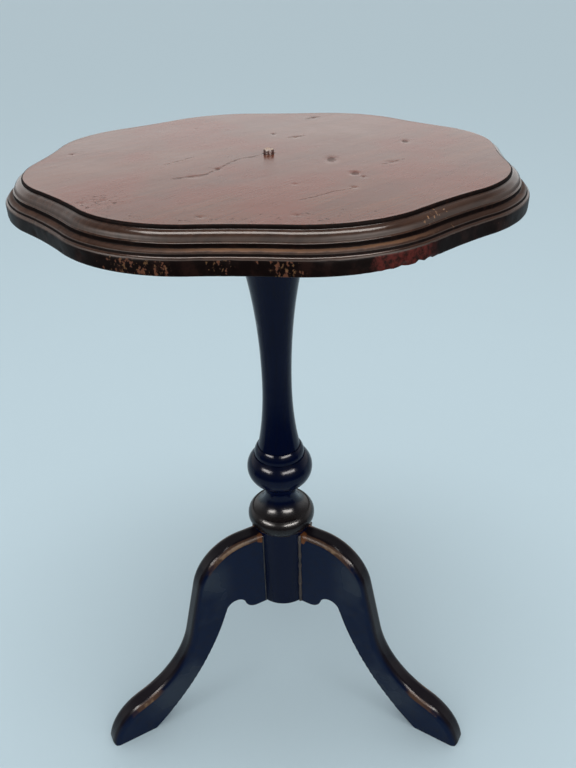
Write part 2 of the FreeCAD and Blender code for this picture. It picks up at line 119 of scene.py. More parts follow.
class Graph:
    """A node tree, with short ways to add nodes and join them."""

    def __init__(self, tree: bpy.types.NodeTree) -> None:
        """Keeps the tree."""
        self.tree = tree

    def feed(self, socket: Socket, value: Value) -> None:
        """Links a socket to another, or sets its value.

        Args:
            socket: The input to feed.
            value: An output socket, a number, a colour or a vector.
        """
        if isinstance(value, bpy.types.NodeSocket):
            self.tree.links.new(value, socket)
        elif isinstance(value, tuple) and len(socket.default_value) == len(value) + 1:
            socket.default_value = (*value, 1.0)
        else:
            socket.default_value = value

    def node(
        self, kind: str, inputs: Optional[Dict[Union[str, int], Value]] = None, **settings: object,
    ) -> Node:
        """Adds a node.

        Args:
            kind: The node's type, without the words that every shader node's type starts with.
            inputs: Values for its inputs, by name or number.
            **settings: Values for its own properties.

        Returns:
            The node.
        """
        made = self.tree.nodes.new("ShaderNode" + kind)
        for name, value in settings.items():
            setattr(made, name, value)
        for key, value in (inputs or {}).items():
            self.feed(made.inputs[key], value)
        return made

    def math(self, operation: str, *values: Value) -> Socket:
        """A Math node's result."""
        return self.node("Math", dict(enumerate(values)), operation=operation).outputs[0]

    def most(self, *values: Value) -> Socket:
        """The greatest of several values."""
        return reduce(lambda one, other: self.math("MAXIMUM", one, other), values)

    def times(self, *values: Value) -> Socket:
        """The product of several values."""
        return reduce(lambda one, other: self.math("MULTIPLY", one, other), values)

    def total(self, base: Value, *shares: Tuple[Value, float]) -> Value:
        """A value plus shares of others.

        Args:
            base: The value to start from.
            *shares: Each value to add, with its weight.

        Returns:
            The sum.
        """
        for value, weight in shares:
            base = self.math("MULTIPLY_ADD", value, weight, base)
        return base

    def vector(self, operation: str, *values: Value) -> Socket:
        """A Vector Math node's result, which is a number for a distance or a dot product."""
        made = self.node("VectorMath", dict(enumerate(values)), operation=operation)
        return made.outputs["Value" if operation in ("DISTANCE", "DOT_PRODUCT") else "Vector"]

    def scaled(self, vector: Value, scales: Value) -> Socket:
        """A vector with each coordinate scaled."""
        return self.vector("MULTIPLY", vector, scales)

    def turned(self, vector: Value, angle: Value, axis: str = "Z") -> Socket:
        """A vector turned about an axis, by an angle in radians."""
        inputs = {"Vector": vector, "Angle": angle}
        return self.node("VectorRotate", inputs, rotation_type=axis + "_AXIS").outputs[0]

    def part(self, vector: Value, axis: str) -> Socket:
        """One coordinate of a vector."""
        return self.node("SeparateXYZ", {0: vector}).outputs[axis]

    def ramp(self, value: Value, low: Value, high: Value) -> Socket:
        """A smooth step from 0 at low to 1 at high."""
        ends = {"Value": value, "From Min": low, "From Max": high}
        return self.node("MapRange", ends, interpolation_type="SMOOTHSTEP").outputs[0]

    def fade(self, value: Value, low: Value, high: Value) -> Socket:
        """A smooth step from 1 at low to 0 at high."""
        ends = {"Value": value, "From Min": low, "From Max": high, "To Min": 1.0, "To Max": 0.0}
        return self.node("MapRange", ends, interpolation_type="SMOOTHSTEP").outputs[0]

    def between(self, value: Value, rise: Pair, fall: Pair) -> Socket:
        """A smooth hump that rises over one stretch of a value and falls over another."""
        return self.times(self.ramp(value, *rise), self.fade(value, *fall))

    def mix(self, share: Value, first: Value, second: Value) -> Socket:
        """Two colours mixed, through the Mix node's colour sockets."""
        return self.node("Mix", {0: share, 6: first, 7: second}, data_type="RGBA").outputs[2]

    def blend(self, share: Value, first: Value, second: Value) -> Socket:
        """Two numbers mixed, through the Mix node's number sockets."""
        return self.node("Mix", {0: share, 2: first, 3: second}).outputs[0]

    def noise(
        self, vector: Value, scale: Value, detail: float = 3.0, rough: float = 0.5, bend: float = 0.0,
    ) -> Socket:
        """Soft noise from 0 to 1, with finer layers by detail and rough, and distorted by bend."""
        inputs = {"Vector": vector, "Scale": scale, "Detail": detail, "Roughness": rough, "Distortion": bend}
        return self.node("TexNoise", inputs).outputs[0]


class Effect:
    """A shader node group that is built once and placed in every material that uses it."""

    name: str = ""
    vectors: Tuple[str, ...] = ("Vector",)
    numbers: Tuple[str, ...] = ()
    gives: Tuple[str, ...] = ()

    def wire(self, graph: Graph, given: Dict[str, Socket]) -> Tuple[Socket, ...]:
        """Makes the group's nodes.

        Args:
            graph: The group's graph.
            given: The group's inputs, by name.

        Returns:
            A socket for each output, in order.
        """
        raise NotImplementedError

    def tree(self) -> bpy.types.NodeTree:
        """The node group, which the first call builds.

        Returns:
            The group's tree.
        """
        found = bpy.data.node_groups.get(self.name)
        if found:
            return found
        made = bpy.data.node_groups.new(self.name, "ShaderNodeTree")
        for kind, names in (("Vector", self.vectors), ("Float", self.numbers)):
            for name in names:
                made.interface.new_socket(name=name, in_out="INPUT", socket_type="NodeSocket" + kind)
        for name in self.gives:
            made.interface.new_socket(name=name, in_out="OUTPUT", socket_type="NodeSocketFloat")
        entry = made.nodes.new("NodeGroupInput")
        leave = made.nodes.new("NodeGroupOutput")
        given = {name: entry.outputs[name] for name in self.vectors + self.numbers}
        for socket, name in zip(self.wire(Graph(made), given), self.gives):
            made.links.new(socket, leave.inputs[name])
        return made

    def add(self, graph: Graph, **inputs: Value) -> Tuple[Socket, ...]:
        """Places the group in a material.

        Args:
            graph: The material's graph.
            **inputs: Values for the group's inputs.

        Returns:
            Its outputs, in order.
        """
        made = graph.node("Group", node_tree=self.tree())
        for name, value in inputs.items():
            graph.feed(made.inputs[name], value)
        return tuple(made.outputs[name] for name in self.gives)


class WoodFigure(Effect):
    """Long grain: broad figure, fine open pores and soft patches of tone."""

    name = "wood_figure"
    numbers = ("Turn", "Fine")
    gives = ("Figure", "Pores", "Tone")

    def wire(self, graph: Graph, given: Dict[str, Socket]) -> Tuple[Socket, ...]:
        """Makes the grain along X, turned by the given angle.

        Args:
            graph: The group's graph.
            given: The group's inputs, by name.

        Returns:
            The figure, the pores and the tone.
        """
        along = graph.turned(given["Vector"], graph.times(given["Turn"], -1.0))
        size = graph.node("CombineXYZ", {axis: given["Fine"] for axis in "XYZ"}).outputs[0]
        fine = graph.scaled(along, size)
        broad = graph.noise(graph.scaled(fine, (0.09, 1.0, 0.5)), 46.0, 3.0, 0.55, 0.5)
        streak = graph.noise(graph.scaled(fine, (0.045, 1.0, 0.6)), 310.0, 5.0, 0.62, 0.25)
        both = graph.math("ADD", graph.times(broad, 0.45), graph.times(streak, 0.55))
        dashes = graph.noise(graph.scaled(fine, (0.06, 1.0, 1.0)), 1150.0, 2.0)
        tone = graph.noise(fine, 19.0, 3.0, 0.55)
        return graph.ramp(both, 0.34, 0.66), graph.ramp(dashes, 0.60, 0.74), tone


class Scuffs(Effect):
    """Short straight scratches that lie roughly one way."""

    name = "scuffs"
    numbers = ("Turn", "Scale")
    gives = ("Scuff",)

    def wire(self, graph: Graph, given: Dict[str, Socket]) -> Tuple[Socket, ...]:
        """Makes stretched cells and keeps their middles, broken up by noise.

        Args:
            graph: The group's graph.
            given: The group's inputs, by name.

        Returns:
            The scratches.
        """
        long = graph.scaled(graph.turned(given["Vector"], given["Turn"]), (0.05, 1.0, 1.0))
        cells = graph.node("TexVoronoi", {"Vector": long, "Scale": given["Scale"]})
        line = graph.fade(cells.outputs["Distance"], 0.02, 0.075)
        kept = graph.ramp(graph.part(cells.outputs["Color"], "X"), 0.62, 0.70)
        broken = graph.ramp(graph.noise(given["Vector"], 130.0, 2.0), 0.42, 0.58)
        return (graph.times(line, kept, broken),)


class Mark(Effect):
    """One straight scratch between two points on the top, with a slightly wandering line."""

    name = "straight_mark"
    vectors = ("Vector", "From", "To")
    numbers = ("Width",)
    gives = ("Mark",)
    stray: float = 0.005

    def wire(self, graph: Graph, given: Dict[str, Socket]) -> Tuple[Socket, ...]:
        """Measures the distance to the line between the points.

        Args:
            graph: The group's graph.
            given: The group's inputs, by name.

        Returns:
            The mark, which is 1 on the line.
        """
        level = (1.0, 1.0, 0.0)
        flat = graph.scaled(given["Vector"], level)
        wobble = graph.node("TexNoise", {"Vector": flat, "Scale": 110.0, "Detail": 2.0}).outputs["Color"]
        drift = graph.scaled(graph.vector("SUBTRACT", wobble, (0.5, 0.5, 0.5)), (self.stray,) * 3)
        here = graph.scaled(graph.vector("ADD", flat, drift), level)
        arm = graph.vector("SUBTRACT", here, given["From"])
        line = graph.vector("SUBTRACT", given["To"], given["From"])
        lengths = [graph.vector("DOT_PRODUCT", other, line) for other in (arm, line)]
        share = graph.math("DIVIDE", *lengths)
        share.node.use_clamp = True
        foot = graph.node("VectorMath", {0: line, "Scale": share}, operation="SCALE").outputs["Vector"]
        mark = graph.fade(graph.vector("DISTANCE", arm, foot), 0.0, given["Width"])
        return (graph.times(mark, graph.ramp(graph.noise(flat, 260.0, 2.0), 0.30, 0.62)),)


class Flecks(Effect):
    """Scattered ragged flecks, such as chips and pits."""

    name = "flecks"
    numbers = ("Scale", "Share")
    gives = ("Fleck",)

    def wire(self, graph: Graph, given: Dict[str, Socket]) -> Tuple[Socket, ...]:
        """Keeps the peaks of a noise, more of them where the share is greater.

        Args:
            graph: The group's graph.
            given: The group's inputs, by name.

        Returns:
            The flecks.
        """
        grit = graph.noise(given["Vector"], given["Scale"], 4.0, 0.62)
        low = graph.total(0.76, (given["Share"], -0.30))
        return (graph.ramp(grit, low, graph.math("ADD", low, 0.05)),)


class Wear(Effect):
    """A mask broken up by noise, so that a rubbed edge has a ragged border."""

    name = "rubbed_wear"
    numbers = ("Mask", "Scale", "Ragged")
    gives = ("Worn",)

    def wire(self, graph: Graph, given: Dict[str, Socket]) -> Tuple[Socket, ...]:
        """Adds noise to the mask and sharpens it.

        Args:
            graph: The group's graph.
            given: The group's inputs, by name.

        Returns:
            The worn share.
        """
        rag = graph.noise(given["Vector"], given["Scale"], 4.0, 0.62)
        swing = graph.times(graph.math("SUBTRACT", rag, 0.5), given["Ragged"])
        return (graph.ramp(graph.math("ADD", given["Mask"], swing), 0.35, 0.72),)


FIGURE = WoodFigure()
SCUFFS = Scuffs()
MARK = Mark()
FLECKS = Flecks()
WEAR = Wear()


class PaintGraph(Graph):
    """A material's graph, with the piece's own coordinates and the shared effects."""

    def __init__(self, tree: bpy.types.NodeTree) -> None:
        """Keeps the tree, and adds the piece's own coordinates."""
        super().__init__(tree)
        self.place = self.node("TexCoord").outputs["Object"]

    def normal(self) -> Socket:
        """The direction that the surface faces."""
        return self.node("NewGeometry").outputs["Normal"]

    def attribute(self, which: Attribute) -> Socket:
        """One of the piece's own attributes."""
        return self.node("Attribute", attribute_name=which.value).outputs["Fac"]

    def patch(self, centre: Point, reach: Pair) -> Socket:
        """A soft round patch, which is full to the first radius and ends at the second."""
        return self.fade(self.vector("DISTANCE", self.place, centre), *reach)

    def grain(self, turn: float) -> Tuple[Socket, ...]:
        """The figure, the pores and the tone of a large piece of wood."""
        return FIGURE.add(self, Vector=self.place, Turn=turn, Fine=1.0)

    def worn(self, mask: Value, scale: float, ragged: float) -> Socket:
        """A mask with a ragged border."""
        return WEAR.add(self, Mask=mask, Vector=self.place, Scale=scale, Ragged=ragged)[0]

    def flecks(self, vector: Value, scale: float, share: Value) -> Socket:
        """Scattered flecks."""
        return FLECKS.add(self, Vector=vector, Scale=scale, Share=share)[0]

    def scuffs(self, vector: Value, turn: float, scale: float) -> Socket:
        """Short scratches."""
        return SCUFFS.add(self, Vector=vector, Turn=turn, Scale=scale)[0]


class Surface(NamedTuple):
    """What a finish feeds its shader, as sockets or plain values."""

    colour: Value
    rough: Value
    height: Optional[Value] = None
    metallic: Value = 0.0
    coat: Value = 0.0


@dataclass(frozen=True)
class Finish:
    """A procedural material. Each finish paints its own graph."""

    name: str = "finish"
    specular: float = 0.5
    relief: float = 0.0002      # what a surface height of 1 measures
    coat_rough: float = 0.03

    def paint(self, graph: PaintGraph) -> Surface:
        """Makes the finish's nodes.

        Args:
            graph: The material's graph.

        Returns:
            What the shader is fed.
        """
        raise NotImplementedError

    def material(self) -> bpy.types.Material:
        """The material, which the first call builds.

        Returns:
            The material.
        """
        found = bpy.data.materials.get(self.name)
        if found:
            return found
        made = bpy.data.materials.new(self.name)
        made.use_nodes = True
        made.node_tree.nodes.clear()
        graph = PaintGraph(made.node_tree)
        shader = graph.node("BsdfPrincipled")
        graph.node("OutputMaterial", {"Surface": shader.outputs[0]})
        surface = self.paint(graph)
        inputs = {
            "Base Color": surface.colour, "Roughness": surface.rough, "Metallic": surface.metallic,
            "Coat Weight": surface.coat, "Coat Roughness": self.coat_rough,
            "Specular IOR Level": self.specular,
        }
        if surface.height is not None:
            rise = {"Height": surface.height, "Distance": self.relief, "Strength": 1.0}
            inputs["Normal"] = graph.node("Bump", rise).outputs[0]
        for name, value in inputs.items():
            graph.feed(shader.inputs[name], value)
        return made

    def dress(self, piece: bpy.types.Object) -> None:
        """Gives the material to a piece, in place of what it has."""
        piece.data.materials.clear()
        piece.data.materials.append(self.material())


@dataclass(frozen=True)
class MahoganyTop(Finish):
    """The flat of the top: old polished mahogany with scratches, dents and pits."""

    name: str = "worn_mahogany"
    specular: float = 0.23
    relief: float = 0.0005
    deep: Colour = (0.100, 0.028, 0.014)
    warm: Colour = (0.150, 0.047, 0.022)
    red: Colour = (0.165, 0.037, 0.019)
    pore: Colour = (0.060, 0.018, 0.010)
    scratch: Colour = (0.016, 0.006, 0.005)
    pitted_front: Pair = (-0.142, -0.105)
    speckle_patch: Point = (-0.088, -0.106, 0.502)
    speckle_reach: Pair = (0.006, 0.034)
    marks: Tuple[Tuple[Pair, Pair, float], ...] = (
        ((-0.052, -0.0615), (-0.036, -0.053), 0.0030),
        ((-0.036, -0.053), (-0.020, -0.0165), 0.0018),
        ((-0.020, -0.0165), (-0.003, -0.001), 0.0014),
        ((-0.065, -0.0263), (-0.049, -0.006), 0.0013),
        ((0.0715, -0.0345), (0.086, -0.023), 0.0018),
        ((0.012, 0.050), (0.024, 0.056), 0.0020),
        ((0.026, 0.122), (0.036, 0.132), 0.0026),
        ((0.020, -0.110), (0.052, -0.086), 0.0010),
    )

    def harm(self, graph: PaintGraph) -> Socket:
        """Where the flat is scratched, dented, scuffed and pitted.

        Args:
            graph: The material's graph.

        Returns:
            The harm, from 0 to 1.
        """
        marks = [
            MARK.add(graph, Vector=graph.place, From=(*start, 0.0), To=(*end, 0.0), Width=width)[0]
            for start, end, width in self.marks
        ]
        dents = graph.worn(graph.attribute(Attribute.DENT), 420.0, 1.0)
        scuffs = graph.scuffs(graph.place, -GRAIN_TURN, 150.0)
        front = graph.times(graph.fade(graph.part(graph.place, "Y"), *self.pitted_front), 0.50)
        speckle = graph.times(graph.patch(self.speckle_patch, self.speckle_reach), 0.66)
        along = graph.scaled(graph.turned(graph.place, -0.25), (0.60, 1.0, 1.0))
        pits = graph.flecks(along, 450.0, graph.most(front, speckle))
        faint = graph.times(graph.most(*marks, dents), 0.58)
        return graph.most(faint, graph.times(scuffs, 0.24), graph.times(pits, 0.72))

    def paint(self, graph: PaintGraph) -> Surface:
        """Makes the finish's nodes.

        Args:
            graph: The material's graph.

        Returns:
            What the shader is fed.
        """
        figure, pores, tone = graph.grain(GRAIN_TURN)
        harm = self.harm(graph)
        ripple = graph.noise(graph.place, 55.0, 2.0)
        colour = graph.mix(figure, self.deep, self.warm)
        colour = graph.mix(graph.times(graph.ramp(tone, 0.40, 0.66), 0.75), colour, self.red)
        colour = graph.mix(graph.times(pores, 0.35), colour, self.pore)
        return Surface(
            colour=graph.mix(graph.times(harm, 0.85), colour, self.scratch),
            rough=graph.total(0.20, (tone, 0.10), (harm, 0.30), (pores, 0.03)),
            height=graph.total(0.6, (figure, 0.05), (pores, -0.03), (harm, -0.40), (ripple, 0.26)),
        )


@dataclass(frozen=True)
class MahoganyMoulding(Finish):
    """The moulded edge: dark brown gloss, rubbed to gold on its lower crest in front, and darkened in its
    creases by dirt and painted shade.
    """

    name: str = "dark_moulding"
    specular: float = 0.19
    relief: float = 0.0004
    dark: Colour = (0.026, 0.0105, 0.0058)
    streak: Colour = (0.072, 0.033, 0.020)
    gold: Colour = (0.165, 0.078, 0.038)
    # dirt and painted shade in the creases
    grime: Colour = (0.0040, 0.0013, 0.0010)
    chip: Colour = (0.300, 0.145, 0.062)
    gold_across: Pair = (-0.060, -0.015)
    gold_front: Pair = (-0.158, -0.126)
    chip_patch: Point = (0.085, -0.126, 0.496)
    chip_reach: Pair = (0.002, 0.026)

    def paint(self, graph: PaintGraph) -> Surface:
        """Makes the finish's nodes.

        Args:
            graph: The material's graph.

        Returns:
            What the shader is fed.
        """
        place = graph.place
        figure, _, tone = graph.grain(GRAIN_TURN)
        crest = graph.attribute(Attribute.RUB)
        right = graph.ramp(graph.part(place, "X"), *self.gold_across)
        front = graph.times(graph.fade(graph.part(place, "Y"), *self.gold_front), right)
        patchy = graph.total(0.55, (graph.ramp(graph.noise(place, 34.0), 0.35, 0.65), 0.40))
        gold = graph.times(graph.worn(crest, 160.0, 0.9), front, patchy)
        # creases darkened by dirt and painted shade
        grime = graph.worn(graph.attribute(Attribute.GRIME), 240.0, 0.5)
        many = graph.times(graph.patch(self.chip_patch, self.chip_reach), 0.62)
        chips = graph.flecks(place, 380.0, many)
        upright = graph.fade(graph.part(graph.normal(), "Z"), 0.25, 0.80)
        ripple = graph.noise(place, 70.0, 2.0)
        colour = graph.mix(graph.times(figure, 0.7), self.dark, self.streak)
        colour = graph.mix(gold, colour, self.gold)
        colour = graph.mix(grime, colour, self.grime)
        return Surface(
            colour=graph.mix(chips, colour, self.chip),
            rough=graph.total(0.12, (tone, 0.08), (crest, 0.45), (upright, 0.48)),
            height=graph.total(0.4, (figure, 0.04), (chips, -0.4), (ripple, 0.2)),
        )


@dataclass(frozen=True)
class MahoganyRim(Finish):
    """The rim of the top: dull and nearly black, with red and brown where the finish is gone."""

    name: str = "dark_rim"
    specular: float = 0.05
    relief: float = 0.0003
    black: Colour = (0.0050, 0.0009, 0.0007)
    brown: Colour = (0.0180, 0.0056, 0.0038)
    red: Colour = (0.130, 0.020, 0.015)
    mottle: Colour = (0.175, 0.062, 0.032)
    chip: Colour = (0.300, 0.145, 0.062)
    red_patch: Point = (0.074, -0.149, 0.4845)
    red_reach: Pair = (0.012, 0.030)
    black_patch: Point = (0.097, -0.140, 0.486)
    black_reach: Pair = (0.006, 0.016)
    mottled: Tuple[Tuple[Point, float], ...] = (
        ((-0.058, -0.155, 0.484), 0.034),
        ((0.0145, -0.161, 0.482), 0.015),
        ((-0.018, -0.161, 0.487), 0.013),
    )

    def paint(self, graph: PaintGraph) -> Surface:
        """Makes the finish's nodes.

        Args:
            graph: The material's graph.

        Returns:
            What the shader is fed.
        """
        place = graph.place
        low = graph.scaled(place, (1.0, 1.0, 0.7))
        cluster = graph.times(graph.ramp(graph.noise(place, 36.0, 2.0), 0.46, 0.68), 0.36)
        near = graph.most(*[graph.patch(centre, (reach / 4, reach)) for centre, reach in self.mottled])
        many = graph.most(cluster, graph.times(near, 0.72))
        spots = graph.flecks(low, 330.0, many)
        nicks = graph.flecks(low, 560.0, graph.times(many, 0.85))
        bared = graph.worn(graph.patch(self.red_patch, self.red_reach), 260.0, 0.9)
        shade = graph.ramp(graph.noise(place, 330.0, 4.0, 0.7), 0.30, 0.64)
        upper = graph.ramp(graph.part(graph.normal(), "Z"), 0.08, 0.45)
        grit = graph.noise(place, 420.0, 3.0, 0.6)
        tone = graph.ramp(graph.noise(low, 120.0, 4.0, 0.65), 0.45, 0.70)
        colour = graph.mix(tone, self.black, self.brown)
        colour = graph.mix(graph.times(spots, 0.80), colour, self.mottle)
        colour = graph.mix(graph.times(bared, 0.9), colour, graph.mix(shade, self.brown, self.red))
        colour = graph.mix(graph.patch(self.black_patch, self.black_reach), colour, self.black)
        return Surface(
            colour=graph.mix(graph.times(nicks, 0.45), colour, self.chip),
            rough=graph.total(0.42, (upper, -0.26), (spots, 0.10), (bared, 0.06)),
            height=graph.total(0.5, (spots, -0.30), (bared, -0.25), (grit, 0.25), (nicks, -0.2)),
        )


@dataclass(frozen=True)
class OldDirtAndShade(Finish):
    """Old wax and dirt in the steps of the moulding, with painted shade: dull and nearly black."""

    name: str = "old_dirt_and_shade"
    specular: float = 0.02
    # dark and light: dirt and the painted shade of the steps
    dark: Colour = (0.0045, 0.0010, 0.0007)
    light: Colour = (0.0150, 0.0046, 0.0030)

    def paint(self, graph: PaintGraph) -> Surface:
        """Makes the finish's nodes.

        Args:
            graph: The material's graph.

        Returns:
            What the shader is fed.
        """
        grit = graph.noise(graph.place, 260.0, 4.0, 0.65)
        return Surface(
            colour=graph.mix(graph.ramp(grit, 0.48, 0.72), self.dark, self.light),
            rough=graph.total(0.48, (grit, 0.20)),
            height=graph.total(0.4, (grit, 0.4)),
        )


@dataclass(frozen=True)
class EbonisedTurning(Finish):
    """Gloss black over dark wood, turned round the column's axis. The blue in its black and brown is a
    painted reflection of a blue floor.
    """

    name: str = "ebonised_turning"
    specular: float = 0.12
    relief: float = 0.00012
    coat_rough: float = 0.20
    # black and brown carry a blue that is a painted reflection of a blue floor
    black: Colour = (0.0003, 0.0030, 0.0190)
    brown: Colour = (0.0020, 0.0030, 0.0110)
    rub: Colour = (0.0330, 0.0210, 0.0150)
    ring_brown: Colour = (0.0085, 0.0054, 0.0040)
    drum_foot: float = 0.103
    foot_rub: Pair = (0.0004, 0.0030)
    drum_top: float = 0.1865
    top_rub: Pair = (0.0002, 0.0016)
    ring_foot: Pair = (0.1865, 0.1895)
    ring_top: Pair = (0.202, 0.215)

    def paint(self, graph: PaintGraph) -> Surface:
        """Makes the finish's nodes.

        Args:
            graph: The material's graph.

        Returns:
            What the shader is fed.
        """
        place = graph.place
        height = graph.part(place, "Z")
        grain = graph.noise(graph.scaled(place, (1.0, 1.0, 0.06)), 420.0, 4.0, 0.6)
        grain = graph.ramp(grain, 0.45, 0.75)
        smear = graph.noise(place, 38.0, 3.0, 0.55)
        edges = [
            graph.fade(graph.math("ABSOLUTE", graph.math("SUBTRACT", height, level)), *reach)
            for level, reach in ((self.drum_foot, self.foot_rub), (self.drum_top, self.top_rub))
        ]
        worn = graph.worn(graph.times(graph.most(*edges), 0.52), 170.0, 0.8)
        ring = graph.between(height, self.ring_foot, self.ring_top)
        tooled = graph.noise(graph.scaled(place, (0.02, 0.02, 1.0)), 700.0, 2.0)
        colour = graph.mix(graph.times(grain, 0.5), self.black, self.brown)
        colour = graph.mix(graph.times(ring, 0.85), colour, self.ring_brown)
        return Surface(
            colour=graph.mix(worn, colour, self.rub),
            rough=graph.total(0.10, (smear, 0.16), (worn, 0.25), (grain, 0.04), (ring, 0.10)),
            height=graph.total(0.3, (tooled, 0.25), (grain, -0.2), (smear, 0.5)),
            coat=graph.times(ring, 0.30),
        )


@dataclass(frozen=True)
class EbonisedLeg(Finish):
    """Gloss black on a shaped leg, rubbed through to brown and tan along its rounded edges. The blue in its
    black is a painted reflection of a blue floor, kept on the side faces, and the tan line is partly a
    painted highlight along the rounding.
    """

    name: str = "ebonised_leg"
    specular: float = 0.12
    relief: float = 0.00018
    turn: float = 0.0
    bare_spot: Point = (0.0250, 0.0080, 0.1800)
    bare_reach: float = 0.0
    # black carries a blue that is a painted reflection of a blue floor
    black: Colour = (0.0004, 0.0062, 0.0290)
    brown: Colour = (0.0100, 0.0062, 0.0048)
    rub: Colour = (0.0700, 0.0350, 0.0215)
    # pale tan: rubbed wear, made pale so that it is also a painted highlight along the rounding
    tan_wear_and_highlight: Colour = (0.2300, 0.1400, 0.0750)
    bare: Colour = (0.1500, 0.0520, 0.0170)
    haze: Colour = (0.0400, 0.0520, 0.0680)
    knee: Pair = (0.062, 0.092)
    instep: Tuple[Pair, Pair] = ((0.122, 0.142), (0.142, 0.180))
    shin: Tuple[Pair, Pair] = ((0.050, 0.078), (0.125, 0.160))

    def paint(self, graph: PaintGraph) -> Surface:
        """Makes the finish's nodes.

        Args:
            graph: The material's graph.

        Returns:
            What the shader is fed.
        """
        leg = graph.turned(graph.place, -self.turn)
        run = graph.part(leg, "X")
        facing = graph.turned(graph.normal(), -self.turn)
        side = graph.math("ABSOLUTE", graph.part(facing, "Y"))
        upward = graph.ramp(graph.part(facing, "Z"), -0.10, 0.12)

        hand = graph.most(graph.fade(run, *self.knee), graph.between(run, *self.instep))
        where = graph.times(graph.total(0.10, (hand, 0.65)), upward)
        arris = graph.between(side, (0.12, 0.55), (0.94, 0.995))
        rub = graph.worn(graph.times(arris, where), 110.0, 0.65)
        frayed = graph.times(graph.ramp(graph.noise(leg, 48.0, 3.0, 0.6), 0.36, 0.62), 0.85)
        # the thin tan line: rubbed wear and a painted highlight on the lower part of the rounding
        thin = graph.times(graph.between(side, (0.48, 0.74), (0.92, 0.99)), where, frayed)
        line = graph.worn(thin, 330.0, 0.8)
        cloud = graph.ramp(graph.noise(leg, 17.0, 3.0, 0.55), 0.40, 0.66)
        haze = graph.times(graph.between(run, *self.shin), cloud, graph.ramp(side, 0.80, 0.98))

        grain = graph.noise(graph.scaled(leg, (0.25, 1.0, 0.25)), 520.0, 4.0, 0.6)
        grain = graph.ramp(grain, 0.45, 0.75)
        smear = graph.noise(graph.place, 30.0, 3.0, 0.55)
        scuff = graph.scuffs(leg, 0.9, 170.0)
        # upward faces mix to brown, so the painted blue reflection stays on the side faces
        aged = graph.times(graph.fade(side, 0.30, 0.90), upward, 0.8)
        colour = graph.mix(graph.times(grain, 0.25), self.black, self.brown)
        colour = graph.mix(graph.most(aged, graph.times(scuff, 0.30)), colour, self.brown)
        colour = graph.mix(graph.times(haze, 0.55), colour, self.haze)
        colour = graph.mix(rub, colour, self.rub)
        colour = graph.mix(graph.times(line, 0.8), colour, self.tan_wear_and_highlight)
        if self.bare_reach:
            away = graph.vector("DISTANCE", graph.vector("ABSOLUTE", leg), self.bare_spot)
            near = graph.fade(away, self.bare_reach / 3, self.bare_reach)
            colour = graph.mix(graph.worn(near, 300.0, 1.6), colour, self.bare)
        rough = graph.total(0.10, (smear, 0.20), (rub, 0.14), (line, 0.14), (scuff, 0.10), (haze, 0.15))
        height = graph.total(0.4, (grain, -0.15), (smear, 0.45), (rub, -0.12), (line, -0.15), (scuff, -0.2))
        return Surface(colour, rough, height)


@dataclass(frozen=True)
class StainedWood(Finish):
    """Wood with a stain and little polish, with its grain along one direction."""

    name: str = "stained_wood"
    grain_turn: float = 0.0
    fine: float = 1.0
    dark: Colour = (0.020, 0.011, 0.008)
    light: Colour = (0.055, 0.028, 0.018)
    pore: Colour = (0.010, 0.006, 0.005)
    rough: float = 0.38
    upright: bool = False

    def paint(self, graph: PaintGraph) -> Surface:
        """Makes the finish's nodes.

        Args:
            graph: The material's graph.

        Returns:
            What the shader is fed.
        """
        place = graph.turned(graph.place, math.pi / 2, "Y") if self.upright else graph.place
        figure, pores, tone = FIGURE.add(graph, Vector=place, Turn=self.grain_turn, Fine=self.fine)
        colour = graph.mix(figure, self.dark, self.light)
        return Surface(
            colour=graph.mix(graph.times(pores, 0.7), colour, self.pore),
            rough=graph.total(self.rough, (tone, 0.15), (pores, 0.10)),
            height=graph.total(0.6, (figure, 0.15), (pores, -0.35), (tone, 0.2)),
        )


@dataclass(frozen=True)
class PegWood(StainedWood):
    """The peg: polished red sides and a pale end, whose pale colour is end grain and a painted highlight."""

    name: str = "peg_mahogany"
    dark: Colour = (0.030, 0.005, 0.003)
    light: Colour = (0.085, 0.016, 0.007)
    pore: Colour = (0.020, 0.005, 0.004)
    # end: pale end grain, lightened as a painted highlight
    end: Colour = (0.420, 0.300, 0.225)
    rough: float = 0.30
    fine: float = 3.0
    upright: bool = True

    def paint(self, graph: PaintGraph) -> Surface:
        """Makes the sides' nodes, then lays the end's colour over them.

        Args:
            graph: The material's graph.

        Returns:
            What the shader is fed.
        """
        sides = super().paint(graph)
        # the upward end takes the pale colour, which is partly a painted highlight
        top = graph.ramp(graph.part(graph.normal(), "Z"), 0.35, 0.80)
        flecks = graph.ramp(graph.noise(graph.place, 1500.0, 2.0), 0.35, 0.65)
        end = graph.mix(graph.times(flecks, 0.55), self.end, self.light)
        return sides._replace(colour=graph.mix(top, sides.colour, end))


@dataclass(frozen=True)
class OldMetal(Finish):
    """Dull metal with brown rust and scratches."""

    name: str = "old_metal"
    relief: float = 0.00015
    metal: Colour = (0.300, 0.290, 0.280)
    rust: Colour = (0.110, 0.052, 0.028)
    rusted: float = 0.5

    def paint(self, graph: PaintGraph) -> Surface:
        """Makes the finish's nodes.

        Args:
            graph: The material's graph.

        Returns:
            What the shader is fed.
        """
        rust = graph.worn(self.rusted, 210.0, 1.0)
        scuff = graph.scuffs(graph.place, 0.7, 420.0)
        grit = graph.noise(graph.place, 1500.0, 3.0, 0.6)
        return Surface(
            colour=graph.mix(rust, self.metal, self.rust),
            rough=graph.total(0.34, (rust, 0.42), (scuff, -0.08)),
            height=graph.total(0.4, (grit, 0.4), (scuff, -0.3), (rust, 0.2)),
            metallic=graph.total(1.0, (rust, -0.9)),
        )


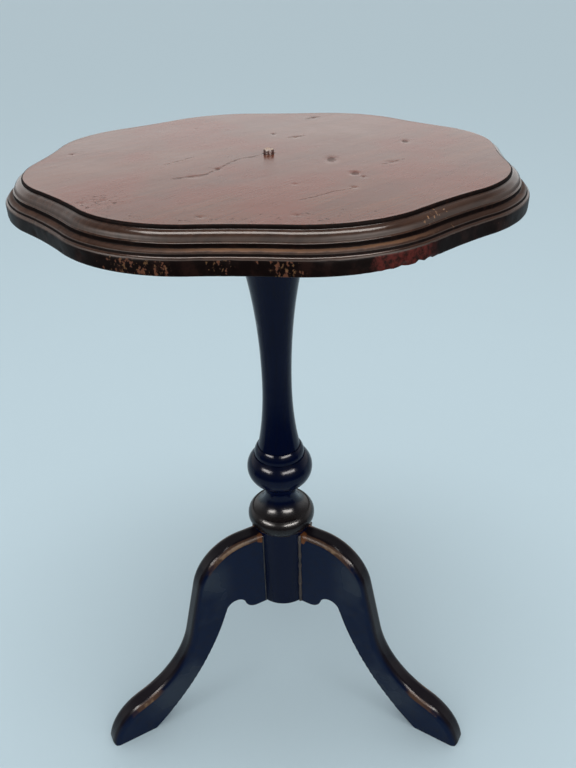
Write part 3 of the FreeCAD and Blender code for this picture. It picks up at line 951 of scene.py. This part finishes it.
@dataclass(frozen=True)
class OldGlue(Finish):
    """The bead of old glue and finish in a joint, rubbed bare here and there."""

    name: str = "old_glue"
    dark: Colour = (0.022, 0.015, 0.013)
    bare: Colour = (0.150, 0.085, 0.055)
    share: float = 0.42
    rough: float = 0.22

    def paint(self, graph: PaintGraph) -> Surface:
        """Makes the finish's nodes.

        Args:
            graph: The material's graph.

        Returns:
            What the shader is fed.
        """
        bare = graph.worn(self.share, 90.0, 1.1)
        grit = graph.noise(graph.place, 700.0, 3.0, 0.6)
        tone = graph.mix(graph.ramp(grit, 0.35, 0.65), self.dark, self.bare)
        return Surface(
            colour=graph.mix(bare, self.dark, tone),
            rough=graph.total(self.rough, (bare, 0.30), (grit, 0.10)),
            height=graph.total(0.4, (grit, 0.5), (bare, -0.2)),
        )


@dataclass(frozen=True)
class MattStage(Finish):
    """A plain matt colour for the floor and the card, which aren't part of the table."""

    name: str = "pale_floor"
    specular: float = 0.1
    colour: Colour = (0.540, 0.680, 0.750)
    rough: float = 0.8

    def paint(self, graph: PaintGraph) -> Surface:
        """The plain colour, which needs no nodes."""
        return Surface(self.colour, self.rough)


def new_object(name: str, mesh: Mesh) -> bpy.types.Object:
    """Turns a finished bmesh into an object of the scene.

    Args:
        name: The object's name.
        mesh: The bmesh, which is freed.

    Returns:
        The object.
    """
    data = bpy.data.meshes.new(name)
    mesh.to_mesh(data)
    mesh.free()
    made = bpy.data.objects.new(name, data)
    bpy.context.scene.collection.objects.link(made)
    return made


def new_piece(name: str, mesh: Mesh, slot: Slot, *finishes: Finish) -> bpy.types.Object:
    """Turns a finished bmesh into a smooth piece that rides on the table.

    Args:
        name: The piece's name.
        mesh: The bmesh, which is freed.
        slot: Not used.
        *finishes: The piece's finishes, in the order of its faces' material numbers.

    Returns:
        The piece.
    """
    for face in mesh.faces:
        face.smooth = True
    made = new_object(name, mesh)
    for finish in finishes:
        made.data.materials.append(finish.material())
    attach(made, BODY)
    LOG.info("piece %s: %d faces", name, len(made.data.polygons))
    return made


def turned_mesh(profile: List[Pair], steps: int) -> Mesh:
    """Spins a closed profile about the column's axis.

    Args:
        profile: The profile's points as radius and height, in order round it.
        steps: How many steps make the turn.

    Returns:
        The mesh.
    """
    made = bmesh.new()
    points = [made.verts.new((radius, 0.0, height)) for radius, height in profile]
    edges = [made.edges.new((a, b)) for a, b in zip(points, points[1:] + points[:1])]
    bmesh.ops.spin(
        made, geom=points + edges, cent=(0.0, 0.0, 0.0), axis=(0.0, 0.0, 1.0),
        angle=2 * math.pi, steps=steps, use_merge=True,
    )
    bmesh.ops.remove_doubles(made, verts=made.verts[:], dist=TOUCH)
    bmesh.ops.recalc_face_normals(made, faces=made.faces[:])
    return made


def evenly(start: float, end: float, count: int) -> List[float]:
    """Values from start to end, with count even steps between them."""
    return [start + (end - start) * index / count for index in range(count + 1)]


@dataclass(frozen=True)
class Dent:
    """A shallow oval dent in the flat of the top."""

    x: float
    y: float
    reach: float
    depth: float
    tall: float = 1.0

    def sink(self, place: Vector) -> float:
        """How far the dent sinks a point."""
        away = math.hypot(place.x - self.x, (place.y - self.y) / self.tall) / self.reach
        return self.depth * (1 - away * away) ** 2 if away < 1 else 0.0


@dataclass
class TableTop:
    """The lobed board with its moulded edge, and the peg in its middle."""

    across_lobes: float = 0.337
    lobe_depth: float = 0.007
    hollow_radius: float = 0.330
    lobes: int = 8
    turn: float = math.radians(19.2)
    hole: float = 0.00365
    steps: int = 480
    flat_rings: int = 96

    # The moulded edge, from the flat down to the underside
    arris_round: float = 0.0011
    upper_step: float = 0.0020
    upper_out: float = 0.0051
    upper_drop: float = 0.0049
    fillet_out: float = 0.0009
    fillet_drop: float = 0.0005
    lower_step: float = 0.0021
    lower_out: float = 0.0038
    lower_drop: float = 0.0027
    ledge: float = 0.0018
    ledge_drop: float = 0.0024
    foot_round: float = 0.0012
    crest_reach: float = 0.0028
    crease_reaches: Tuple[float, float, float] = (0.0028, 0.0024, 0.0014)
    crest_least: float = 0.12
    crease_least: float = 0.45

    # Wear: how much the flat and the edge sway, how deep the nicks are, and the torn stretch
    flat_sway: float = 0.00009
    edge_loss: float = 0.00026
    edge_sway: float = 0.00016
    edge_ripple: float = 0.00010
    nick_depth: float = 0.0011
    nick_least: float = 0.34
    torn_at: float = -1.10
    torn_reach: float = 0.17
    torn_height: float = 0.0022
    torn_width: float = 0.004
    torn_depth: float = 0.0016
    dent_full: float = 0.0005
    dents: Tuple[Dent, ...] = (
        Dent(-0.0300, -0.0393, 0.0032, 0.00045, 1.5),
        Dent(-0.0420, -0.0570, 0.0070, 0.00025, 0.7),
        Dent(0.0011, 0.0637, 0.0034, 0.00030, 1.6),
        Dent(0.0175, 0.0514, 0.0040, 0.00030, 1.3),
        Dent(0.0406, -0.0188, 0.0060, 0.00042, 2.2),
        Dent(0.0530, -0.0553, 0.0046, 0.00050, 1.6),
        Dent(0.0575, -0.0640, 0.0024, 0.00030, 1.6),
        Dent(0.0937, 0.0305, 0.0042, 0.00045, 2.0),
        Dent(0.0315, 0.1272, 0.0034, 0.00040, 2.2),
        Dent(0.0505, -0.0860, 0.0030, 0.00030, 1.2),
        Dent(0.0177, -0.0774, 0.0024, 0.00030, 1.2),
        Dent(-0.0286, -0.1360, 0.0026, 0.00030, 1.2),
        Dent(0.0189, -0.1355, 0.0024, 0.00030, 1.2),
        Dent(-0.1341, 0.0086, 0.0026, 0.00035, 1.6),
        Dent(-0.0954, -0.1085, 0.0026, 0.00030),
        Dent(-0.0850, -0.1040, 0.0024, 0.00030),
        Dent(0.0780, -0.0290, 0.0060, 0.00022, 0.8),
        Dent(-0.0600, 0.0900, 0.0024, 0.00025, 1.4),
    )

    peg_radius: float = 0.0035
    peg_bevel: float = 0.0006
    peg_dish: float = 0.0004
    peg_worn_end: float = 0.0011
    peg_loss: float = 0.0003
    peg_sway: float = 0.0004

    @property
    def rim(self) -> float:
        """How far out the lobes' tips lie."""
        return self.across_lobes / 2

    @property
    def flat_inset(self) -> float:
        """How far in from the rim the flat of the top starts."""
        return self.upper_out + self.fillet_out + self.lower_out + self.ledge

    @property
    def flat_end(self) -> float:
        """How far in from the rim the flat's rounded edge starts."""
        return self.flat_inset + self.arris_round

    @property
    def lower_head(self) -> float:
        """How far the lower ovolo starts below the flat of the top."""
        return self.upper_step + self.upper_drop + self.fillet_drop + self.lower_step

    @property
    def crest(self) -> Point:
        """The rubbed crest of the moulding, as inset, drop and reach."""
        return self.ledge + 0.66 * self.lower_out, self.lower_head + 0.06 * self.lower_drop, self.crest_reach

    @property
    def creases(self) -> List[Point]:
        """The hollows of the moulding, darkened for dirt and painted shade, as inset, drop and reach."""
        places = (
            (self.flat_inset, 0.35 * self.upper_step),
            (self.lower_out + self.ledge, self.lower_head - 0.5 * self.lower_step),
            (self.ledge, self.lower_head + 0.8 * self.lower_drop),
        )
        return [(*place, reach) for place, reach in zip(places, self.crease_reaches)]

    def radius(self, angle: float, inset: float) -> float:
        """How far out the lobed outline lies.

        Args:
            angle: The direction in radians.
            inset: How far the outline is drawn in from the rim.

        Returns:
            The distance from the column's axis.
        """
        step = 2 * math.pi / self.lobes
        local = abs((angle - self.turn + step / 2) % step - step / 2)
        far = self.rim - self.lobe_depth + self.hollow_radius
        lean, aside = far * math.cos(step / 2), far * math.sin(step / 2)
        square = self.rim ** 2 + far ** 2 - 2 * self.rim * lean - self.hollow_radius ** 2
        bow = square / (2 * (self.rim - lean + self.hollow_radius))
        centre = self.rim - bow
        reach = (bow - inset) / math.hypot(lean - centre, aside)
        join = math.atan2(aside * reach, centre + (lean - centre) * reach)
        if local <= join:
            return centre * math.cos(local) + math.sqrt((bow - inset) ** 2 - (centre * math.sin(local)) ** 2)
        off = step / 2 - local
        return far * math.cos(off) - math.sqrt((self.hollow_radius + inset) ** 2 - (far * math.sin(off)) ** 2)

    def edge_profile(self, thickness: float) -> List[Pair]:
        """The moulded edge from the flat to the underside, as inset and drop.

        Args:
            thickness: The board's thickness.

        Returns:
            The points.
        """
        quarter = evenly(0.0, math.pi / 2, 8)
        soft = self.arris_round
        found = [(self.flat_inset + soft * (1 - math.sin(a)), soft * (1 - math.cos(a))) for a in quarter[::2]]
        found += [(self.flat_inset, drop) for drop in evenly(soft, self.upper_step, 2)[1:]]
        inset, drop = found[-1]
        for out, fall, step in (
            (self.upper_out, self.upper_drop, 0.0),
            (self.fillet_out, self.fillet_drop, self.lower_step),
            (self.lower_out, self.lower_drop, 0.0),
            (self.ledge, self.ledge_drop, 0.0),
        ):
            found += [(inset - out * math.sin(a), drop + fall * (1 - math.cos(a))) for a in quarter[1:]]
            inset -= out
            drop += fall
            if step:
                found += [(inset, drop + down) for down in evenly(0.0, step, 3)[1:]]
                drop += step
        foot = self.foot_round
        end = thickness - foot
        found += [(0.0, down) for down in evenly(drop, end, 5)[1:]]
        found += [(foot * (1 - math.cos(a)), end + foot * math.sin(a)) for a in quarter[2::2]]
        return found

    def profile(self, thickness: float, top: float) -> List[Pair]:
        """The board's whole profile before it is lobed, as radius and height.

        Args:
            thickness: The board's thickness.
            top: The height of its upper face.

        Returns:
            The points, in order round the profile.
        """
        inner = self.rim - self.flat_end
        found = [(radius, top) for radius in evenly(self.hole, inner, self.flat_rings)[:-1]]
        found += [(self.rim - inset, top - drop) for inset, drop in self.edge_profile(thickness)]
        outer = self.rim - self.foot_round
        found += [(radius, top - thickness) for radius in evenly(outer, self.hole, 14)[1:]]
        found += [(self.hole, height) for height in evenly(top - thickness, top, 3)[1:-1]]
        return found

    def lobed(self, mesh: Mesh, top: float) -> None:
        """Draws the turned board out to its lobes, and writes the attributes that its finish reads.

        Args:
            mesh: The turned board.
            top: The height of its upper face.
        """
        layers = {which: mesh.verts.layers.float.new(which.value) for which in Attribute}
        thickness = top - min(vert.co.z for vert in mesh.verts)
        rim_head = self.lower_head + self.lower_drop + 0.5 * self.ledge_drop
        creases = self.creases

        def nearness(inset: float, drop: float, spot: Point) -> float:
            """How near a point of the profile lies to a spot on it, from 0 to 1."""
            return max(0.0, 1 - math.hypot(inset - spot[0], drop - spot[1]) / spot[2])

        for vert in mesh.verts:
            out = math.hypot(vert.co.x, vert.co.y)
            angle = math.atan2(vert.co.y, vert.co.x)
            inset, drop = self.rim - out, top - vert.co.z
            under = drop > thickness - TOUCH
            limit = self.foot_round if under else self.flat_end
            if inset > limit + HAIR:
                share = out / (self.rim - limit)
                even = share * share * (3 - 2 * share)
                goal = out * (1 + (self.radius(angle, limit) / (self.rim - limit) - 1) * even)
            else:
                goal = self.radius(angle, max(inset, 0.0))
            vert.co.x, vert.co.y = goal * math.cos(angle), goal * math.sin(angle)
            vert[layers[Attribute.EDGE]] = float(inset < self.flat_end - HAIR and not under)
            vert[layers[Attribute.RUB]] = nearness(inset, drop, self.crest)
            vert[layers[Attribute.GRIME]] = max(nearness(inset, drop, crease) for crease in creases)
            vert[layers[Attribute.RIM]] = float(inset < self.foot_round + TOUCH and drop > rim_head)
            vert[layers[Attribute.RAW]] = float(under)

    def worn(self, mesh: Mesh, top: float) -> None:
        """Dents the flat, and leaves the edge as uneven as years of use do.

        Args:
            mesh: The lobed board.
            top: The height of its upper face.
        """
        layers = {which: mesh.verts.layers.float[which.value] for which in Attribute}
        foot = min(vert.co.z for vert in mesh.verts)
        for vert in mesh.verts:
            place = vert.co.copy()
            level = Vector((place.x, place.y, 0.0))
            angle = math.atan2(place.y, place.x)
            torn = max(0.0, 1 - abs(angle - self.torn_at) / self.torn_reach)
            low = place.z < foot + self.foot_round
            if torn and low and level.length > self.radius(angle, self.torn_width):
                lift = max(0.0, 0.25 + noise.noise(level * 190.0))
                vert.co.z += self.torn_height * min(1.0, 2 * torn) * lift
            if vert[layers[Attribute.EDGE]]:
                on_rim = vert[layers[Attribute.RIM]]
                sway = self.edge_sway * noise.noise(place * 45.0)
                sway += self.edge_ripple * noise.noise(place * 170.0)
                nick = max(0.0, noise.noise(place * 210.0 + Vector((7.0, 1.0, 3.0))) - self.nick_least)
                bite = nick * (self.nick_depth * (0.35 + on_rim) + self.torn_depth * torn * on_rim)
                vert.co -= level.normalized() * (self.edge_loss + sway + bite)
            elif vert.co.z > top - TOUCH:
                sunk = sum(dent.sink(place) for dent in self.dents)
                vert[layers[Attribute.DENT]] = min(1.0, sunk / self.dent_full)
                vert.co.z -= self.flat_sway * (1 - noise.noise(place * 26.0)) + sunk

    def zoned(self, mesh: Mesh) -> None:
        """Chooses the finish of each face.

        Args:
            mesh: The worn board.
        """
        layers = {which: mesh.verts.layers.float[which.value] for which in Attribute}
        for face in mesh.faces:
            least = {which: min(vert[layer] for vert in face.verts) for which, layer in layers.items()}
            if least[Attribute.RAW]:
                zone = Zone.UNDERSIDE
            elif least[Attribute.RIM]:
                zone = Zone.RIM
            elif not least[Attribute.EDGE]:
                zone = Zone.FLAT
            # faces deep in the creases take the dirt and painted shade
            elif least[Attribute.GRIME] > self.crease_least:
                zone = Zone.DIRT_AND_SHADE
            else:
                zone = Zone.CREST if least[Attribute.RUB] > self.crest_least else Zone.MOULDING
            face.material_index = zone.value

    def build(self) -> None:
        """Builds the board and the peg, which stand for their nodes."""
        low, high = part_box("table_top")
        mesh = turned_mesh(self.profile(high.z - low.z, high.z), self.steps)
        self.lobed(mesh, high.z)
        self.worn(mesh, high.z)
        self.zoned(mesh)
        finishes = {
            Zone.FLAT: MahoganyTop(),
            Zone.MOULDING: MahoganyMoulding(),
            Zone.RIM: MahoganyRim(),
            Zone.DIRT_AND_SHADE: OldDirtAndShade(),
            Zone.UNDERSIDE: StainedWood(
                name="raw_mahogany", grain_turn=GRAIN_TURN, dark=(0.085, 0.045, 0.027),
                light=(0.150, 0.083, 0.050), pore=(0.060, 0.032, 0.020), rough=0.70,
            ),
            Zone.CREST: MahoganyMoulding(name="rubbed_crest", specular=0.05),
        }
        board = new_piece("lobed_board", mesh, Slot.TOP, *[finishes[zone] for zone in Zone])
        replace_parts(board, "table_top")
        self.build_peg()

    def build_peg(self) -> None:
        """Builds the peg, with a worn upper end."""
        low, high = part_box("centre_peg")
        inner, shoulder = self.peg_radius - self.peg_bevel, high.z - self.peg_bevel
        profile = [(0.0, low.z)] + [(self.peg_radius, height) for height in evenly(low.z, shoulder, 24)]
        for a in evenly(0.0, math.pi / 2, 4)[1:]:
            profile.append((inner + self.peg_bevel * math.cos(a), shoulder + self.peg_bevel * math.sin(a)))
        for radius in evenly(inner, 0.0, 9)[1:]:
            profile.append((radius, high.z - self.peg_dish * (1 - (radius / inner) ** 2)))
        mesh = turned_mesh(profile, 48)
        for vert in mesh.verts:
            if vert.co.z > high.z - self.peg_worn_end:
                vert.co.z -= self.peg_loss + self.peg_sway * noise.noise(vert.co * 420.0)
        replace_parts(new_piece("worn_peg", mesh, Slot.PEG, PegWood()), "centre_peg")


@dataclass
class Pedestal:
    """The column with the boss, wedges, plate and screws that hold it together."""

    column: Finish = EbonisedTurning()
    boss: Finish = StainedWood(
        name="stained_boss", grain_turn=math.radians(15.0),
        dark=(0.012, 0.009, 0.008), light=(0.034, 0.020, 0.015),
    )
    wedges: Finish = StainedWood(
        name="pale_wedge", fine=4.0, dark=(0.230, 0.130, 0.066), light=(0.380, 0.245, 0.135),
        pore=(0.15, 0.08, 0.04), rough=0.6, upright=True,
    )
    plate: Finish = OldMetal(name="plate_iron", metal=(0.120, 0.115, 0.110), rusted=0.55)
    screws: Finish = OldMetal(name="screw_steel", rusted=0.40)

    def dress(self) -> None:
        """Gives the nodes that stay as they are their finishes."""
        finishes = {
            "column": self.column,
            "top_boss": self.boss,
            "tenon_wedges": self.wedges,
            "leg_plate": self.plate,
            "boss_screws": self.screws,
            "plate_screws": self.screws,
        }
        for name, finish in finishes.items():
            finish.dress(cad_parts[name])
            LOG.info("node %s: %s", name, finish.name)


@dataclass
class Leg:
    """One leg, with the beads of old glue along its joint with the column."""

    place: LegPlace
    bare_reach: float = 0.0
    shoulder: float = 0.02366
    half_thickness: float = 0.0095
    bead_foot: float = 0.1036
    bead_top: float = 0.1827
    bead_radius: float = 0.0009
    bead_out: float = 0.0003
    bead_off: float = 0.0001
    bead_bare: float = 0.42
    bead_dark: Colour = (0.010, 0.009, 0.010)
    bead_colour: Colour = (0.120, 0.075, 0.052)
    bead_rough: float = 0.30

    def build(self) -> None:
        """Dresses the leg's node and builds its two beads."""
        node = self.place.node
        finish = EbonisedLeg(name="ebonised_" + node, turn=self.place.turn, bare_reach=self.bare_reach)
        finish.dress(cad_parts[node])
        LOG.info("node %s: %s", node, finish.name)
        mesh = bmesh.new()
        for side in (-1.0, 1.0):
            self.bead(mesh, side)
        turn = Matrix.Rotation(self.place.turn, 3, "Z")
        bmesh.ops.rotate(mesh, verts=mesh.verts[:], cent=(0.0, 0.0, 0.0), matrix=turn)
        glue = OldGlue(
            name="old_glue_" + node, dark=self.bead_dark, bare=self.bead_colour,
            share=self.bead_bare, rough=self.bead_rough,
        )
        new_piece(node + "_joint_beads", mesh, Slot.EBONY, glue)

    def bead(self, mesh: Mesh, side: float) -> None:
        """Adds one bead, for a leg along +X.

        Args:
            mesh: The mesh that takes it.
            side: Which side of the leg it lies on, -1 or 1.
        """
        length = self.bead_top - self.bead_foot
        x, y = self.shoulder + self.bead_out, side * (self.half_thickness + self.bead_off)
        made = bmesh.ops.create_cone(
            mesh, cap_ends=True, segments=10, radius1=self.bead_radius, radius2=self.bead_radius,
            depth=length, matrix=Matrix.Translation((x, y, (self.bead_top + self.bead_foot) / 2)),
        )
        edges = {edge for vert in made["verts"] for edge in vert.link_edges}
        rods = [edge for edge in edges if abs(edge.verts[0].co.z - edge.verts[1].co.z) > length / 2]
        bmesh.ops.subdivide_edges(mesh, edges=rods, cuts=36, use_grid_fill=True)
        for vert in mesh.verts:
            if vert.co.y * side > 0:
                axis = Vector((x, y, vert.co.z))
                swell = 0.85 + 0.45 * noise.noise(Vector((side * 3.0, self.place.turn, vert.co.z * 160.0)))
                vert.co = axis + (vert.co - axis) * swell


@dataclass(frozen=True)
class Lamp:
    """A soft light that faces the table. The key light shades it, and the others shine in its gloss."""

    name: str
    place: Point
    width: float
    height: float
    power: float
    key: bool = False
    tint: Colour = (1.0, 0.95, 0.90)
    aim: Point = (0.0, 0.0, 0.3)

    def build(self) -> None:
        """Builds the light."""
        data = bpy.data.lights.new(self.name, "AREA")
        data.shape = "RECTANGLE"
        data.size = self.width
        data.size_y = self.height
        data.energy = self.power
        data.color = self.tint
        lamp = bpy.data.objects.new(self.name, data)
        lamp.location = self.place
        lamp.rotation_euler = (Vector(self.aim) - Vector(self.place)).to_track_quat("-Z", "Y").to_euler()
        lamp.visible_camera = False
        lamp.visible_diffuse = self.key
        lamp.visible_glossy = not self.key
        bpy.context.scene.collection.objects.link(lamp)


@dataclass
class Studio:
    """The floor, the soft lights and the camera."""

    floor_radius: float = 40.0
    card_inner: float = 0.60
    card_outer: float = 9.0
    card_height: float = 0.002
    ambient: float = 0.80
    background: float = 0.74
    front_level: float = 0.13
    back_low: float = 1.21
    back_high: float = 0.42
    back_starts: Pair = (-0.30, 0.40)
    high_starts: Pair = (0.20, 0.62)
    camera_place: Point = (0.02219, -0.47436, 0.60620)
    camera_pitch: float = 0.5359
    camera_roll: float = -0.0258
    camera_turn: float = math.radians(1.62)
    focal_pixels: float = 697.22
    image_height: float = 768.0
    sensor: float = 36.0
    lamps: Tuple[Lamp, ...] = (
        Lamp("left_softbox", (-0.633, -0.550, 0.716), 0.51, 0.18, 12.6),
        Lamp("right_softbox", (0.481, -0.687, 0.716), 0.71, 0.18, 17.5),
        Lamp("overhead_softbox", (0.0, -0.03, 2.10), 1.90, 0.70, 84.0),
        Lamp("key_light", (0.0, -0.25, 2.20), 1.40, 0.60, 10.2, key=True, tint=(1.0, 1.0, 1.0)),
    )

    def build(self) -> None:
        """Builds the whole stage."""
        self.build_floor()
        self.build_card()
        self.build_world()
        for lamp in self.lamps:
            lamp.build()
        self.build_camera()

    def build_floor(self) -> None:
        """Builds the round floor."""
        mesh = bmesh.new()
        bmesh.ops.create_circle(mesh, cap_ends=True, radius=self.floor_radius, segments=96)
        self.stand("floor", mesh, MattStage())

    def build_card(self) -> None:
        """Builds the dark half ring on the floor in front, which only the gloss sees."""
        mesh = bmesh.new()
        ends = [mesh.verts.new((out, 0.0, self.card_height)) for out in (self.card_inner, self.card_outer)]
        side = mesh.edges.new(ends)
        bmesh.ops.spin(
            mesh, geom=ends + [side], cent=(0.0, 0.0, 0.0), axis=(0.0, 0.0, 1.0), angle=-math.pi, steps=48,
        )
        card = self.stand("front_card", mesh, MattStage(name="dark_card", colour=(0.025, 0.025, 0.027)))
        card.visible_camera = False
        card.visible_diffuse = False
        card.visible_shadow = False

    def stand(self, name: str, mesh: Mesh, finish: Finish) -> bpy.types.Object:
        """Adds a piece of the stage.

        Args:
            name: Its name.
            mesh: Its mesh, which is freed.
            finish: Its finish.

        Returns:
            The piece of the stage.
        """
        made = new_object(name, mesh)
        finish.dress(made)
        return made

    def build_world(self) -> None:
        """Builds a soft even light, with a pale background for the camera and a dim front for the gloss."""
        world = bpy.data.worlds.new("studio")
        world.use_nodes = True
        world.node_tree.nodes.clear()
        graph = Graph(world.node_tree)
        rays = graph.node("LightPath").outputs
        gloss = rays["Is Glossy Ray"]
        seen = graph.most(rays["Is Camera Ray"], gloss, rays["Is Transmission Ray"])
        towards = graph.node("TexCoord").outputs["Generated"]
        back = graph.ramp(graph.part(towards, "Y"), *self.back_starts)
        high = graph.ramp(graph.part(towards, "Z"), *self.high_starts)
        behind = graph.total(self.back_low, (high, self.back_high - self.back_low))
        level = graph.blend(gloss, self.background, graph.blend(back, self.front_level, behind))
        soft = graph.node("Background", {"Color": (1.0, 1.0, 1.0), "Strength": self.ambient})
        plain = graph.node("Background", {"Color": (1.0, 1.0, 0.99), "Strength": level})
        mixed = graph.node("MixShader", {0: seen, 1: soft.outputs[0], 2: plain.outputs[0]})
        graph.node("OutputWorld", {"Surface": mixed.outputs[0]})
        bpy.context.scene.world = world

    def build_camera(self) -> None:
        """Builds the camera at the photograph's viewing angle."""
        data = bpy.data.cameras.new("camera")
        data.sensor_width = self.sensor
        data.lens = self.sensor * self.focal_pixels / self.image_height
        data.clip_start = 0.01
        data.clip_end = 60.0
        camera = bpy.data.objects.new("camera", data)
        spin = Matrix.Rotation(self.camera_turn, 4, "Z")
        tilt = Matrix.Rotation(math.pi / 2 - self.camera_pitch, 4, "X")
        roll = Matrix.Rotation(self.camera_roll, 4, "Z")
        camera.matrix_world = Matrix.Translation(self.camera_place) @ spin @ tilt @ roll
        bpy.context.scene.collection.objects.link(camera)
        bpy.context.scene.camera = camera


def main() -> None:
    """Builds the table's looks and the stage."""
    logging.basicConfig(level=logging.INFO, format="%(name)s %(message)s")
    bpy.context.scene.view_settings.view_transform = "Standard"
    TableTop().build()
    Pedestal().dress()
    Leg(place=LegPlace.BACK).build()
    Leg(
        place=LegPlace.LEFT, bare_reach=0.0068, bead_radius=0.0007, bead_bare=0.50,
        bead_colour=(0.040, 0.042, 0.045),
    ).build()
    Leg(
        place=LegPlace.RIGHT, bare_reach=0.0085, bead_radius=0.0018, bead_bare=0.58,
        bead_dark=(0.014, 0.010, 0.010), bead_colour=(0.072, 0.042, 0.030), bead_rough=0.40,
    ).build()
    Studio().build()


if __name__ == "__main__":
    main()
